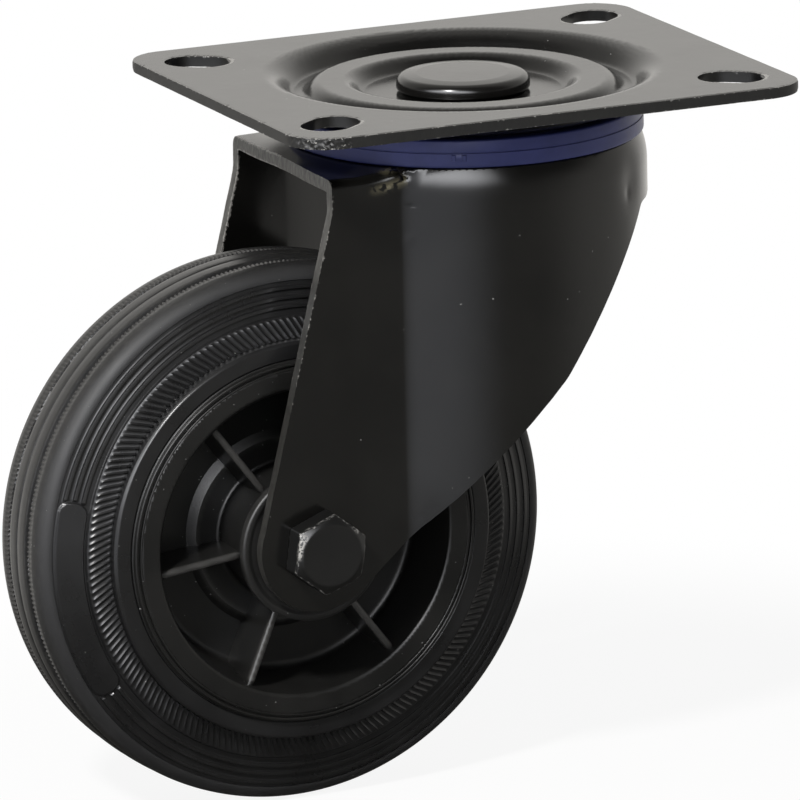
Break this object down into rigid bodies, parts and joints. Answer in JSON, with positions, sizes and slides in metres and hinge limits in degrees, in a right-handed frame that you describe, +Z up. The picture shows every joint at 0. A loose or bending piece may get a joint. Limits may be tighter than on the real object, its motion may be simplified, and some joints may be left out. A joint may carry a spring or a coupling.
{
  "type": "swivel castor",
  "caption": "Swivel castor: drawn top plate with slotted bolt holes, blue seal ring, pressed black fork and a solid rubber tyre on a ribbed plastic wheel centre.",
  "frame": {"origin": "centre of the mounting plate's top face, on the swivel axis", "axes": "+Z up out of the plate towards what the castor is bolted to, X along the plate's long side with the wheel trailing towards -X, Y along the wheel axle"},
  "size_m": [0.14, 0.085, 0.13],
  "materials": {
    "plate_paint": "satin black paint",
    "fork_paint": "satin black paint",
    "pin_paint": "satin black paint",
    "bolt_steel": "blackened steel",
    "zinc_steel": "zinc plated",
    "ball_steel": "polished",
    "seal_plastic": "dark blue, satin",
    "insert_plastic": "matte",
    "cage_plastic": "natural plastic",
    "wheel_plastic": "moulded, satin",
    "cap_plastic": "moulded, satin",
    "tyre_rubber": "matte rubber"
  },
  "bodies": {
    "plate": {"top_plate": "plate_paint", "kingpin": "pin_paint", "lower_cup": "zinc_steel"},
    "fork": {"fork": "fork_paint", "seal_ring": "seal_plastic", "axle_bolt": "bolt_steel", "axle_nut": "zinc_steel", "nut_insert": "insert_plastic", "axle_sleeve": "zinc_steel"},
    "upper_ring": {"upper_balls": "ball_steel"},
    "lower_ring": {"lower_balls": "ball_steel"},
    "wheel": {"wheel_centre": "wheel_plastic", "tyre": "tyre_rubber", "dust_cap_near": "cap_plastic", "dust_cap_far": "cap_plastic"},
    "bearing": {"roller_cage": "cage_plastic", "rollers": "ball_steel"}
  },
  "joints": [
    {"name": "swivel", "type": "hinge", "parent": "plate", "child": "fork", "pos_m": [0, 0, 0], "axis": [0, 0, 1], "continuous": true},
    {"name": "upper_roll", "type": "hinge", "parent": "plate", "child": "upper_ring", "pos_m": [0, 0, 0], "axis": [0, 0, 1], "continuous": true},
    {"name": "lower_roll", "type": "hinge", "parent": "plate", "child": "lower_ring", "pos_m": [0, 0, 0], "axis": [0, 0, 1], "continuous": true},
    {"name": "wheel_spin", "type": "hinge", "parent": "fork", "child": "wheel", "pos_m": [-0.04, 0, -0.08], "axis": [0, 1, 0], "continuous": true},
    {"name": "bearing_spin", "type": "hinge", "parent": "fork", "child": "bearing", "pos_m": [-0.04, 0, -0.08], "axis": [0, 1, 0], "continuous": true}
  ],
  "couplings": [
    {"joint": "upper_roll", "follows": "swivel", "ratio": 0.5},
    {"joint": "lower_roll", "follows": "swivel", "ratio": 0.5},
    {"joint": "bearing_spin", "follows": "wheel_spin", "ratio": 0.6}
  ]
}
